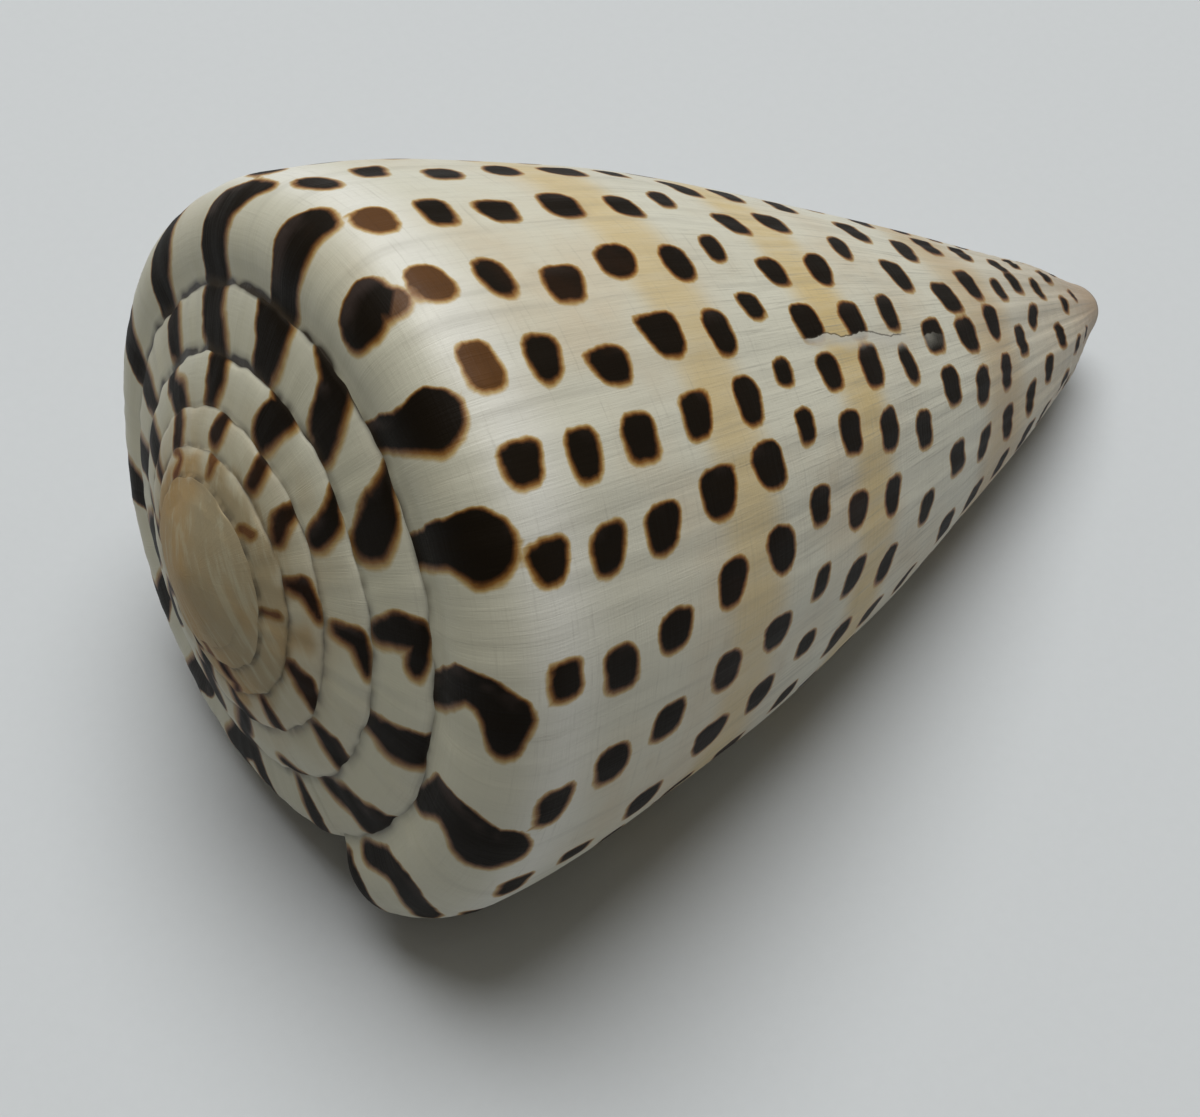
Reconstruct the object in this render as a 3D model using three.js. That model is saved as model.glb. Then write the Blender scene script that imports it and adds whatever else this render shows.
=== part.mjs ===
// A spotted cone shell, grown as one piece, lying with its aperture down.
// Millimetres, +Z up.  The shell is worked out in its own growth frame first: +X runs
// along the coiling axis from the apex to the narrow front end, and the growth angle
// counts back from the edge of the outer lip, so 0 is the lip, 2 pi is one whorl older.
import * as THREE from 'three';

// Driving sizes.
const SHOULDER_RADIUS = 31;          // from the axis to the shoulder at the lip
const BODY_LENGTH = 96.3;            // from the shoulder to the front end, at the lip
const LIP_THICKNESS = 1.1;           // of the outer lip at its edge
const WALL_THICKNESS = 2.6;          // of the outer wall further in
const WALL_THICKENING = 0.35;        // radians in which most of that is reached
const FRONT_THINNING = 0.5;          // the share of the wall lost towards the front
const CAVITY_DEPTH = THREE.MathUtils.degToRad(190);
const COLUMELLA_NOSE = 0.6;          // how far its rounded front stands forward
const APEX_LEVEL = 0.9;              // of the worn apex along the axis

// How the shell grows.
const TURN = 2 * Math.PI;
const SHOULDER_SHRINK = 0.0428;      // rate for each radian back from the lip
const FRONT_SHRINK = 0.0191;         // the front end moves in more slowly
const SPIRE_SLOPE = 0.385;
const SPIRE_FLATTENING = 0.1078;
const SPIRE_TURNS = 5;               // older whorls with a suture of their own

// The outline of one growth line, in shoulder radii.
const SHOULDER_ROUNDING = 0.181;
const SUTURE_ANGLE = THREE.MathUtils.degToRad(52);
const CAVITY_ROOF_ANGLE = THREE.MathUtils.degToRad(71);
const RAMP_CHANNEL = 0.011;
const SIDE_BULGE = 0.1397;
const BULGE_FORWARD = 0.6318;
const FRONT_RADIUS = 0.1451;
const FRONT_ROUNDING = 0.3;
const FRONT_ROUNDING_FROM = 0.9;     // as parts of the side
const FRONT_ROUNDING_TO = 1.04;
const LIP_CORNER_CUT = 0.18;         // the lip's front corner is rounded back
const LIP_CORNER_WIDTH = 1.3;
const COLUMELLA_REACH = 0.14;        // the inner lip runs on towards the front
const COLUMELLA_TAPER = 0.55;
const REACH_SHARPNESS = 8;           // both stay close to the front end
const INNER_LIP_FROM = 0.75 * TURN;  // where the outer lip turns into the inner one
const INNER_LIP_TO = 1.1 * TURN;
const FRONT_TIP = 1.25 * TURN;

// How it lies on a table: turned about its axis, then dipped towards the front.
const ROLL = THREE.MathUtils.degToRad(137.1);
const DIP = THREE.MathUtils.degToRad(13.7);

// Facets.
const COLUMNS = 72;
const RAMP_ROWS = 2;
const ARC_ROWS = 2;
const SIDE_ROWS = 16;
const ROW_CROWDING = 0.85;           // under 1, rows stand closer towards the front
const SUTURE_ROW = RAMP_ROWS + ARC_ROWS;
const ROOF_ROW = SUTURE_ROW + 1;
const SIDE_START = ROOF_ROW + 1;
const FRONT_ROW = SIDE_START + SIDE_ROWS;
const CAVITY_COLUMNS = Math.round(CAVITY_DEPTH / TURN * COLUMNS);
const APEX_COLUMN = (SPIRE_TURNS + 1) * COLUMNS;

// The shoulder radius at a growth angle, with 1 at the lip.
function shoulder(angle) {
  return Math.exp(-SHOULDER_SHRINK * angle);
}

// How far along the axis the shoulder lies, for a shoulder of that radius.
function shoulderLevel(radius) {
  return SHOULDER_RADIUS * (SPIRE_SLOPE * radius - SPIRE_FLATTENING * radius * radius);
}

// A point of the rounded shoulder, 0 facing the apex and pi / 2 facing outwards.
function onShoulderArc(angle, arc) {
  const radius = shoulder(angle);
  const rounding = SHOULDER_ROUNDING * radius * SHOULDER_RADIUS;
  return {
    along: shoulderLevel(radius) + rounding * (1 - Math.cos(arc)),
    out: radius * SHOULDER_RADIUS - rounding * (1 - Math.sin(arc)),
  };
}

// A point of the side, with part 0 at the shoulder and 1 at the front end.
function onSide(angle, part) {
  const radius = shoulder(angle);
  const shrink = Math.exp(-FRONT_SHRINK * angle);
  const lean = 1 + BULGE_FORWARD * (1 - 2 * part);
  const inner = THREE.MathUtils.smoothstep(angle, INNER_LIP_FROM, INNER_LIP_TO);
  const front = FRONT_RADIUS * shrink * (1 - COLUMELLA_TAPER * inner);
  const end = THREE.MathUtils.smoothstep(part, FRONT_ROUNDING_FROM, FRONT_ROUNDING_TO);
  const bulge = radius * SIDE_BULGE * 4 * part * (1 - part) * lean;
  const out = (radius * (1 - part) + front * part + bulge) * (1 - FRONT_ROUNDING * end);
  const corner = LIP_CORNER_CUT * Math.exp(-Math.pow(angle / LIP_CORNER_WIDTH, 2));
  const reach = COLUMELLA_REACH * inner - corner;
  return {
    along: shoulderLevel(radius) + BODY_LENGTH * shrink * part
      + SHOULDER_RADIUS * reach * Math.pow(part, REACH_SHARPNESS),
    out: SHOULDER_RADIUS * out,
  };
}

// The outline at one growth angle, row by row from the suture to the front end.
function outline(angle, row) {
  if (row === 0) {
    return onShoulderArc(angle + TURN, SUTURE_ANGLE);
  }
  if (row < RAMP_ROWS) {
    const suture = onShoulderArc(angle + TURN, SUTURE_ANGLE);
    const edge = onShoulderArc(angle, 0);
    const part = row / RAMP_ROWS;
    return {
      along: THREE.MathUtils.lerp(suture.along, edge.along, part)
        + RAMP_CHANNEL * SHOULDER_RADIUS * shoulder(angle),
      out: THREE.MathUtils.lerp(suture.out, edge.out, part),
    };
  }
  if (row <= SUTURE_ROW) {
    return onShoulderArc(angle, SUTURE_ANGLE * (row - RAMP_ROWS) / ARC_ROWS);
  }
  if (row === ROOF_ROW) {
    return onShoulderArc(angle, CAVITY_ROOF_ANGLE);
  }
  // The side starts where the rounding ends, and its rows crowd towards the front.
  const rounding = SHOULDER_ROUNDING * shoulder(angle) * SHOULDER_RADIUS;
  const start = rounding / (BODY_LENGTH * Math.exp(-FRONT_SHRINK * angle));
  const step = (row - SIDE_START) / SIDE_ROWS;
  return onSide(angle, start + (1 - start) * Math.pow(step, ROW_CROWDING));
}

// The inner face of the outer wall: the outline moved in by the wall's thickness, which
// grows from the lip inwards and thins towards the front.
function innerOutline(angle, row) {
  const here = outline(angle, row);
  const before = outline(angle, row - 1);
  const after = outline(angle, Math.min(row + 1, FRONT_ROW));
  const tangent = new THREE.Vector2(after.along - before.along, after.out - before.out);
  tangent.normalize();
  const deeper = 1 - Math.exp(-angle / WALL_THICKENING);
  const front = THREE.MathUtils.smoothstep(row, SIDE_START, FRONT_ROW);
  const wall = THREE.MathUtils.lerp(LIP_THICKNESS, WALL_THICKNESS, deeper);
  const thickness = wall * (1 - FRONT_THINNING * front);
  return {
    along: here.along + tangent.y * thickness,
    out: here.out - tangent.x * thickness,
  };
}

// The point in space of an outline point at a growth angle.
function inSpace(point, angle) {
  return [point.along, point.out * Math.sin(angle), point.out * Math.cos(angle)];
}

const positions = [];
const triangles = [];
const numbers = new Map();

function vertex(name, point) {
  if (!numbers.has(name)) {
    numbers.set(name, positions.length / 3);
    positions.push(...point);
  }
  return numbers.get(name);
}

const angleOf = (column) => column * TURN / COLUMNS;

// The outer skin.  Row 0 is the suture, which is a row of the whorl before it.
function outer(column, row) {
  if (row === 0) {
    return outer(column + COLUMNS, SUTURE_ROW);
  }
  const angle = angleOf(column);
  return vertex(`outer ${column} ${row}`, inSpace(outline(angle, row), angle));
}

function inner(column, row) {
  if (row === 0) {
    return outer(column + COLUMNS, ROOF_ROW);
  }
  const angle = angleOf(column);
  return vertex(`inner ${column} ${row}`, inSpace(innerOutline(angle, row), angle));
}

function quad(a, b, c, d) {
  triangles.push(a, b, c, a, c, d);
}

function sheet(pick, columns, rows) {
  for (let column = columns[0]; column < columns[1]; column++) {
    for (let row = rows[0]; row < rows[1]; row++) {
      quad(
        pick(column, row),
        pick(column, row + 1),
        pick(column + 1, row + 1),
        pick(column + 1, row),
      );
    }
  }
}

// Joins a closed loop of vertices to one point in the middle.
function fan(loop, middle) {
  for (let i = 0; i < loop.length; i++) {
    triangles.push(loop[i], loop[(i + 1) % loop.length], middle);
  }
}

const span = (from, to, pick) =>
  Array.from({ length: Math.abs(to - from) + 1 }, (_, i) => pick(from + Math.sign(to - from) * i));

// The last whorl, the older whorls of the spire, and the columella inside the aperture.
sheet(outer, [0, COLUMNS], [0, FRONT_ROW]);
sheet(outer, [COLUMNS, APEX_COLUMN], [0, SUTURE_ROW]);
sheet(outer, [COLUMNS, COLUMNS + CAVITY_COLUMNS], [ROOF_ROW, FRONT_ROW]);

// The inner face of the outer wall looks the other way.
sheet((column, row) => inner(CAVITY_COLUMNS - column, row), [0, CAVITY_COLUMNS], [0, FRONT_ROW]);

// The edge of the outer lip, from the suture to the front end.
for (let row = 0; row < FRONT_ROW; row++) {
  quad(inner(0, row), inner(0, row + 1), outer(0, row + 1), outer(0, row));
}

// The front rim of the outer wall, along the open canal.
for (let column = 0; column < CAVITY_COLUMNS; column++) {
  quad(
    outer(column, FRONT_ROW),
    inner(column, FRONT_ROW),
    inner(column + 1, FRONT_ROW),
    outer(column + 1, FRONT_ROW),
  );
}

// The end of the cavity: a wall between its inner face and the columella.
const columellaEnd = COLUMNS + CAVITY_COLUMNS;
for (let row = 1; row < FRONT_ROW; row++) {
  const faced = outer(columellaEnd, Math.max(row, ROOF_ROW));
  triangles.push(inner(CAVITY_COLUMNS, row), faced, inner(CAVITY_COLUMNS, row + 1));
  if (row >= ROOF_ROW) {
    triangles.push(faced, outer(columellaEnd, row + 1), inner(CAVITY_COLUMNS, row + 1));
  }
}

// The closed front of the columella.
const frontLoop = [
  ...span(CAVITY_COLUMNS, columellaEnd, (column) => outer(column, FRONT_ROW)),
  inner(CAVITY_COLUMNS, FRONT_ROW),
];
const frontTip = onSide(FRONT_TIP, 1).along + COLUMELLA_NOSE;
fan(frontLoop.reverse(), vertex('front tip', [frontTip, 0, 0]));

// The worn apex.
const apexLoop = [
  ...span(APEX_COLUMN, APEX_COLUMN + COLUMNS, (column) => outer(column, SUTURE_ROW)),
  ...span(1, SUTURE_ROW - 1, (row) => outer(APEX_COLUMN, row)),
];
fan(apexLoop, vertex('apex', [APEX_LEVEL, 0, 0]));

const geometry = new THREE.BufferGeometry();
geometry.setAttribute('position', new THREE.Float32BufferAttribute(positions, 3));
geometry.setIndex(triangles);
geometry.computeVertexNormals();

const shell = new THREE.Mesh(
  geometry,
  new THREE.MeshStandardMaterial({ color: 0xd8d2c4, roughness: 0.35, metalness: 0 }),
);
shell.name = 'cone_shell';
shell.rotation.order = 'YXZ';
shell.rotation.set(ROLL, DIP, 0);

// The lowest point is at z = 0 and the middle of the footprint is the origin.
shell.updateMatrixWorld(true);
const box = new THREE.Box3().setFromObject(shell, true);
shell.position.set(-(box.min.x + box.max.x) / 2, -(box.min.y + box.max.y) / 2, -box.min.z);

const part = new THREE.Group();
part.add(shell);

export default part;
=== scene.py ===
import math

import bpy
import numpy as np
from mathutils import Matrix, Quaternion, Vector


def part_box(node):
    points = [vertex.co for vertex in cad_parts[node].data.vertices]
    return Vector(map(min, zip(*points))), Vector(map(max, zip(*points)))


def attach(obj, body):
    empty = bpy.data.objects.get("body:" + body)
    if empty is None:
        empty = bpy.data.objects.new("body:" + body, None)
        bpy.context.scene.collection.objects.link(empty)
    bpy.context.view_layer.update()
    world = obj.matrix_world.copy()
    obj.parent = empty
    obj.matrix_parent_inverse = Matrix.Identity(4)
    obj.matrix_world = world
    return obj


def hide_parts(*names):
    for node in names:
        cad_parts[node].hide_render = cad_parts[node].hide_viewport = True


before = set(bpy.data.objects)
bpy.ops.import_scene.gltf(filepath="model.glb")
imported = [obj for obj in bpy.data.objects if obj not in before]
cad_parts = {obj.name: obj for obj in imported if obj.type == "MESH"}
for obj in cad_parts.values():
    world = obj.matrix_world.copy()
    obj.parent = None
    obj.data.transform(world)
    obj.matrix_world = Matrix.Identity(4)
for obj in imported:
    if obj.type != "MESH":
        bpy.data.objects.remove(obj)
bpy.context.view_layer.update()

# The shell is one piece of aragonite, laid down at the lip as the animal grew.  Every
# growth line is the same outline, a little smaller for each radian back from the lip.
# It is worked out in millimetres, with +X from the apex along the coiling axis.
TURN = 2 * math.pi
SHOULDER_RADIUS = 31.0
SHOULDER_SHRINK = 0.0428
SHOULDER_ROUNDING = 0.181
SPIRE_SLOPE = 0.385
SPIRE_FLATTENING = 0.1078


def ease(x, low, high):
    """Goes smoothly from 0 at low to 1 at high: 3 x squared minus 2 x cubed.  A change
    that is eased has its start and end as one pair of values."""
    x = np.clip((x - low) / (high - low), 0.0, 1.0)
    return x * x * (3.0 - 2.0 * x)


def shoulder_radius(angle):
    """The shoulder's distance from the axis, which shrinks exponentially with the angle."""
    return SHOULDER_RADIUS * np.exp(-SHOULDER_SHRINK * angle)


def shoulder_level(radius):
    """How far along the axis a shoulder of that radius lies: a parabola in the radius."""
    share = radius / SHOULDER_RADIUS
    return SHOULDER_RADIUS * (SPIRE_SLOPE * share - SPIRE_FLATTENING * share * share)


def shoulder_arc(angle, arc):
    """A circle's arc at the shoulder: it faces the apex at 0 and outwards at a right angle."""
    radius = shoulder_radius(angle)
    rounding = SHOULDER_ROUNDING * radius
    along = shoulder_level(radius) + rounding * (1.0 - np.cos(arc))
    return along, radius - rounding * (1.0 - np.sin(arc))


BODY_LENGTH = 96.3
FRONT_SHRINK = 0.0191
FRONT_RADIUS = 0.1451
SIDE_BULGE = 0.1397
BULGE_FORWARD = 0.6318
FRONT_ROUNDING = 0.3
ROUNDED = (0.90, 1.04)
LIP_CORNER_CUT = 0.18
LIP_CORNER_WIDTH = 1.3
COLUMELLA_STARTS = (0.75 * TURN, 1.1 * TURN)
COLUMELLA_REACH = 0.14
COLUMELLA_TAPER = 0.55
REACH_POWER = 8


def side(angle, part):
    """The side: a straight line from the shoulder to the front end, plus a parabola whose
    top is moved forwards.  The end is rounded, and the lip's front corner is cut back."""
    radius = shoulder_radius(angle)
    shrink = np.exp(-FRONT_SHRINK * angle)
    inner_lip = ease(angle, *COLUMELLA_STARTS)
    front = SHOULDER_RADIUS * FRONT_RADIUS * shrink * (1.0 - COLUMELLA_TAPER * inner_lip)
    lean = 1.0 + BULGE_FORWARD * (1.0 - 2.0 * part)
    bulge = radius * SIDE_BULGE * 4.0 * part * (1.0 - part) * lean
    out = radius * (1.0 - part) + front * part + bulge
    out = out * (1.0 - FRONT_ROUNDING * ease(part, *ROUNDED))
    reach = COLUMELLA_REACH * inner_lip
    reach = reach - LIP_CORNER_CUT * np.exp(-((angle / LIP_CORNER_WIDTH) ** 2))
    along = shoulder_level(radius) + BODY_LENGTH * shrink * part
    return along + SHOULDER_RADIUS * reach * part**REACH_POWER, out


# Rows of vertices down one growth line: the ramp, the shoulder to the suture, the stretch
# that the outer lip hides, the rest of the shoulder, and the side to the front end.
RAMP_ROWS = 6
ARC_ROWS = 8
ROOF_ROWS = 4
TURNING_ROWS = 3
SIDE_ROWS = 150
SUTURE_ROW = RAMP_ROWS + ARC_ROWS
ROOF_ROW = SUTURE_ROW + ROOF_ROWS
SIDE_START = ROOF_ROW + TURNING_ROWS
FRONT_ROW = SIDE_START + SIDE_ROWS
SUTURE_ANGLE = math.radians(52)
CAVITY_ROOF_ANGLE = math.radians(71)
ARC_END = math.radians(92.3)


def side_part(angle, row):
    """The place along the side, 0 at the shoulder and 1 at the front end, where the side
    starts where the shoulder's rounding ends and its rows are evenly spaced."""
    start = SHOULDER_ROUNDING * shoulder_radius(angle) * (1.0 - math.cos(ARC_END))
    start = start / (BODY_LENGTH * np.exp(-FRONT_SHRINK * angle))
    return start + (1.0 - start) * np.clip((row - SIDE_START) / SIDE_ROWS, 0.0, 1.0)


def arc_at(row):
    """The angle on the shoulder's quarter circle, a straight line between its set rows."""
    set_rows = [RAMP_ROWS, SUTURE_ROW, ROOF_ROW, SIDE_START]
    return np.interp(row, set_rows, [0.0, SUTURE_ANGLE, CAVITY_ROOF_ANGLE, ARC_END])


def curve_between(start, end, leaving, arriving, step):
    """A cubic curve between two points, step 0 to 1, that leaves and arrives with the given
    angles to the radius and pulls in shares of the points' distance."""
    width = np.hypot(*(end - start))
    away, home = (
        np.multiply.outer([pull * math.sin(turned), pull * math.cos(turned)], width)
        for turned, pull in (leaving, arriving)
    )
    square, cube = step**2, step**3
    return (
        (2 * cube - 3 * square + 1) * start
        + (cube - 2 * square + step) * away
        + (3 * square - 2 * cube) * end
        + (cube - square) * home
    )


# The last whorl's ramp dips from the suture and meets the shoulder's arc smoothly.  On the
# spire the whorls are flatter, in one curve from suture to suture.
RAMP_LEAVING = (math.radians(14), 0.9)
RAMP_ARRIVING = (0.0, 0.9)
FLAT_FROM = 0.70 * TURN
FLAT_LEAVING = (math.radians(9), 0.9)
FLAT_ARRIVING = (math.radians(66), 0.42)


def ramp_curve(angle, step):
    """The last whorl's ramp, from the suture at step 0 to the shoulder's edge at 1."""
    suture = np.stack(shoulder_arc(angle + TURN, SUTURE_ANGLE))
    edge = np.stack(shoulder_arc(angle, 0.0))
    return curve_between(suture, edge, RAMP_LEAVING, RAMP_ARRIVING, step)


def flat_whorl(angle, step):
    """The top of an older whorl, from its inner suture at step 0 to its outer one at 1."""
    inner_suture = np.stack(shoulder_arc(angle + TURN, SUTURE_ANGLE))
    outer_suture = np.stack(shoulder_arc(angle, SUTURE_ANGLE))
    return curve_between(inner_suture, outer_suture, FLAT_LEAVING, FLAT_ARRIVING, step)


def grown_length(angle):
    """The shoulder's length in millimetres from the lip back to a growth angle: the
    integral of its radius."""
    return SHOULDER_RADIUS / SHOULDER_SHRINK * (1.0 - np.exp(-SHOULDER_SHRINK * angle))


# No suture is a perfect spiral: each whorl's edge wavers by a fraction of a millimetre.
WAVERS = [(17.0, 0.10), (9.3, 0.08), (5.1, 0.07), (3.1, 0.05), (1.9, 0.03)]
WAVER_PHASE = 9.0
WAVERING_FROM = 0.85 * TURN


def waver(angle):
    """How far a suture strays outwards: sine waves of these lengths and heights."""
    at = 2 * math.pi * grown_length(angle)
    total = sum(height * np.sin(at / length + WAVER_PHASE * length) for length, height in WAVERS)
    return total * ease(angle, WAVERING_FROM, TURN)


# The apex is worn to a low dome, and the side starts flush with the shoulder's arc.
WORN = (4.35 * TURN, 5.2 * TURN)
DOME_RADIUS = 7.3
DOME_BASE = 1.05
DOME_RISE = 2.03
DOME_POWER = 1.5
FLUSH_ROWS = 24
WAVERING_ROWS = 5


def dome(out):
    """The worn apex: its level rises with a power of the distance from the axis."""
    return DOME_BASE + DOME_RISE * (out / DOME_RADIUS) ** DOME_POWER


def outline(angle, row):
    """One growth line as places along and out from the axis: the ramp, the shoulder's arc
    and the side.  Older whorls are flatter, and the oldest are worn to one low dome."""
    angle, row = np.broadcast_arrays(angle, row)
    ramp_along, ramp_out = ramp_curve(angle, np.clip(row / RAMP_ROWS, 0.0, 1.0))
    arc_along, arc_out = shoulder_arc(angle, arc_at(row))
    side_along, side_out = side(angle, side_part(angle, row))
    end_out = shoulder_arc(angle, ARC_END)[1] - side(angle, side_part(angle, SIDE_START))[1]
    side_out = side_out + end_out * (1.0 - ease(row, SIDE_START, SIDE_START + FLUSH_ROWS))
    on_ramp = row < RAMP_ROWS
    on_shoulder = row <= SIDE_START
    along = np.where(on_ramp, ramp_along, np.where(on_shoulder, arc_along, side_along))
    out = np.where(on_ramp, ramp_out, np.where(on_shoulder, arc_out, side_out))
    flatness = ease(angle, FLAT_FROM, TURN) * (row <= SUTURE_ROW)
    flat_along, flat_out = flat_whorl(angle, np.clip(row / SUTURE_ROW, 0.0, 1.0))
    along = along + (flat_along - along) * flatness
    out = out + (flat_out - out) * flatness
    worn = ease(angle, *WORN) * (row <= SUTURE_ROW)
    along = along + (dome(out) - along) * worn
    inner_edge = waver(angle + TURN) * (1.0 - ease(row, 0, RAMP_ROWS))
    outer_edge = waver(angle) * ease(row, SUTURE_ROW - WAVERING_ROWS, SUTURE_ROW)
    outer_edge = outer_edge * (1.0 - ease(row, SUTURE_ROW, ROOF_ROW))
    return along, out + inner_edge + outer_edge


LIP_THICKNESS = 1.1
WALL_THICKNESS = 2.6
THICKENING_ANGLE = 0.35
FRONT_THINNING = 0.5


def inner_outline(angle, row):
    """The inner face of the outer wall: the outline moved inwards along its own normal by
    the wall's thickness, which grows from the lip inwards and thins towards the front."""
    along, out = outline(angle, row)
    back_along, back_out = outline(angle, row - 0.5)
    on_along, on_out = outline(angle, np.minimum(row + 0.5, FRONT_ROW))
    run, rise = on_along - back_along, on_out - back_out
    length = np.hypot(run, rise)
    deeper = 1.0 - np.exp(-angle / THICKENING_ANGLE)
    wall = LIP_THICKNESS + (WALL_THICKNESS - LIP_THICKNESS) * deeper
    wall = wall * (1.0 - FRONT_THINNING * ease(row, SIDE_START, FRONT_ROW))
    return along + wall * rise / length, out - wall * run / length


def in_space(along, out, angle):
    """The point in space of a place on the outline at a growth angle."""
    return np.stack([along, out * np.sin(angle), out * np.cos(angle)], axis=-1)


# Vertices are numbered by column, which is a growth angle, and by row.  Row 0 of a column
# is the suture, which is a row of the whorl before it, so whorls share those vertices.
# Inside the aperture the columns are few, and crowd towards the lip.
COLUMNS = 320
SPIRE_TURNS = 5
APEX_COLUMN = (SPIRE_TURNS + 1) * COLUMNS
CAVITY_DEPTH = math.radians(190)
CAVITY_COLUMNS = 40
CROWDING = 1.4

last_cavity = round(CAVITY_DEPTH / TURN * COLUMNS)
spread = np.linspace(0.0, 1.0, CAVITY_COLUMNS) ** CROWDING
cavity = np.unique(np.round(spread * last_cavity).astype(int))

used = np.zeros((APEX_COLUMN + COLUMNS + 1, FRONT_ROW + 1), dtype=bool)
used[: COLUMNS + 1, 1:] = True
used[COLUMNS:APEX_COLUMN + 1, 1:SUTURE_ROW] = True
used[COLUMNS:, SUTURE_ROW] = True
used[COLUMNS + cavity, ROOF_ROW:] = True
outer = np.full(used.shape, -1)
outer[used] = np.arange(used.sum())
outer[:APEX_COLUMN + 1, 0] = outer[COLUMNS:, SUTURE_ROW]
outer_columns, outer_rows = np.nonzero(used)
outer_angles = outer_columns * TURN / COLUMNS
points = [in_space(*outline(outer_angles, outer_rows.astype(float)), outer_angles)]

rows = np.arange(1, FRONT_ROW + 1).astype(float)
cavity_angles = cavity[:, None] * TURN / COLUMNS
inner = np.zeros((len(cavity), FRONT_ROW + 1), dtype=int)
inner[:, 0] = outer[COLUMNS + cavity, ROOF_ROW]
inner[:, 1:] = used.sum() + np.arange(len(cavity) * FRONT_ROW).reshape(len(cavity), -1)
inner_points = in_space(*inner_outline(cavity_angles, rows), cavity_angles)
points.append(inner_points.reshape(-1, 3))

# The lip's edge is rounded over from the outer face to the inner one, and stands a
# little forward of the last growth line.
LIP_ROUNDING = 0.4
lip_turn = math.pi * np.arange(1, ROOF_ROWS)[:, None] / ROOF_ROWS
lip_outer = in_space(*outline(0.0, rows), 0.0)
lip_inner = in_space(*inner_outline(0.0, rows), 0.0)
share = (0.5 - 0.5 * np.cos(lip_turn))[..., None]
lip_points = lip_outer + (lip_inner - lip_outer) * share
lip_points[..., 1] -= LIP_ROUNDING * np.sin(lip_turn)
lip = np.zeros((ROOF_ROWS + 1, FRONT_ROW + 1), dtype=int)
lip[:, 0] = outer[COLUMNS, SUTURE_ROW:ROOF_ROW + 1]
lip[0, 1:] = outer[0, 1:]
lip[-1] = inner[0]
lip[1:-1, 1:] = sum(map(len, points)) + np.arange(lip_points[..., 0].size).reshape(ROOF_ROWS - 1, -1)
points.append(lip_points.reshape(-1, 3))

# Each corner of each face has a sample: the growth angle and row that it belongs to, and
# whether it is inside.  At a suture the two whorls share a vertex but not a sample.
faces = []
face_samples = []
sample_angles = []
sample_rows = []
sample_inside = []


def samples_for(angles, sample_row, inside):
    """Adds samples for an array of places, and returns their numbers in the same array."""
    angles, sample_row, inside = np.broadcast_arrays(angles, sample_row, inside)
    first = sum(map(len, sample_angles))
    sample_angles.append(angles.ravel())
    sample_rows.append(sample_row.ravel())
    sample_inside.append(inside.ravel())
    return first + np.arange(angles.size).reshape(angles.shape)


def sheet(numbers, samples):
    """Joins a grid of vertices, columns by rows, with a quad between each four."""
    for grid, faces_of_it in ((numbers, faces), (samples, face_samples)):
        corners = [grid[:-1, :-1], grid[:-1, 1:], grid[1:, 1:], grid[1:, :-1]]
        faces_of_it.append(np.stack(corners, axis=-1).reshape(-1, 4))


def triangles(corners, samples):
    """Adds triangles from three arrays of vertices and three of samples, as quads whose
    last corner is repeated."""
    lists = np.broadcast_arrays(*corners, *samples)
    faces.append(np.stack(lists[:3] + lists[2:3], axis=1))
    face_samples.append(np.stack(lists[3:] + lists[5:], axis=1))


def cap(loop, angles, inside, rings, middle, level):
    """Closes a loop of vertices with rings shrunk in even steps towards the middle point,
    whose places along the axis come from level, and a fan of triangles at the end."""
    every = np.concatenate(points)
    numbers = [loop]
    for ring in range(1, rings):
        shrunk = middle + (every[loop] - middle) * (1.0 - ring / rings)
        shrunk[:, 0] = level(shrunk, ring / rings)
        numbers.append(sum(map(len, points)) + np.arange(len(loop)))
        points.append(shrunk)
    numbers = np.array(numbers).T
    numbers = np.concatenate([numbers, numbers[:1]])
    angles = np.append(angles, angles[0])[:, None] + np.zeros(numbers.shape[1])
    samples = samples_for(angles, -1.0, inside)
    sheet(numbers, samples)
    centre = sum(map(len, points))
    points.append(np.array([middle]))
    last, next_last = samples[:-1, -1], samples[1:, -1]
    triangles([numbers[:-1, -1], centre, numbers[1:, -1]], [last, last, next_last])


def columns_of(first, last):
    """The growth angles of a range of columns, as a column of an array."""
    return np.arange(first, last + 1)[:, None] * TURN / COLUMNS


every_row = np.arange(FRONT_ROW + 1).astype(float)
body_samples = samples_for(columns_of(0, COLUMNS), every_row, 0.0)
sheet(outer[:COLUMNS + 1], body_samples)
spire_rows = every_row[:SUTURE_ROW + 1]
spire_samples = samples_for(columns_of(COLUMNS, APEX_COLUMN), spire_rows, 0.0)
sheet(outer[COLUMNS:APEX_COLUMN + 1, :SUTURE_ROW + 1], spire_samples)

SHADED_WITHIN = 0.6
shade = ease(TURN + cavity_angles, TURN, TURN + SHADED_WITHIN)
columella_samples = samples_for(TURN + cavity_angles, every_row[ROOF_ROW:], shade)
sheet(outer[COLUMNS + cavity, ROOF_ROW:], columella_samples)
inner_samples = samples_for(cavity_angles, every_row, 1.0)
sheet(inner[::-1], inner_samples[::-1])
lip_share = np.linspace(0.0, 1.0, ROOF_ROWS + 1)[:, None]
lip_samples = samples_for(0.0, every_row, lip_share)
sheet(lip[::-1], lip_samples[::-1])
triangles([lip[0, -1], lip[1:-1, -1], lip[2:, -1]], [lip_samples[0, -1]] * 3)

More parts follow.
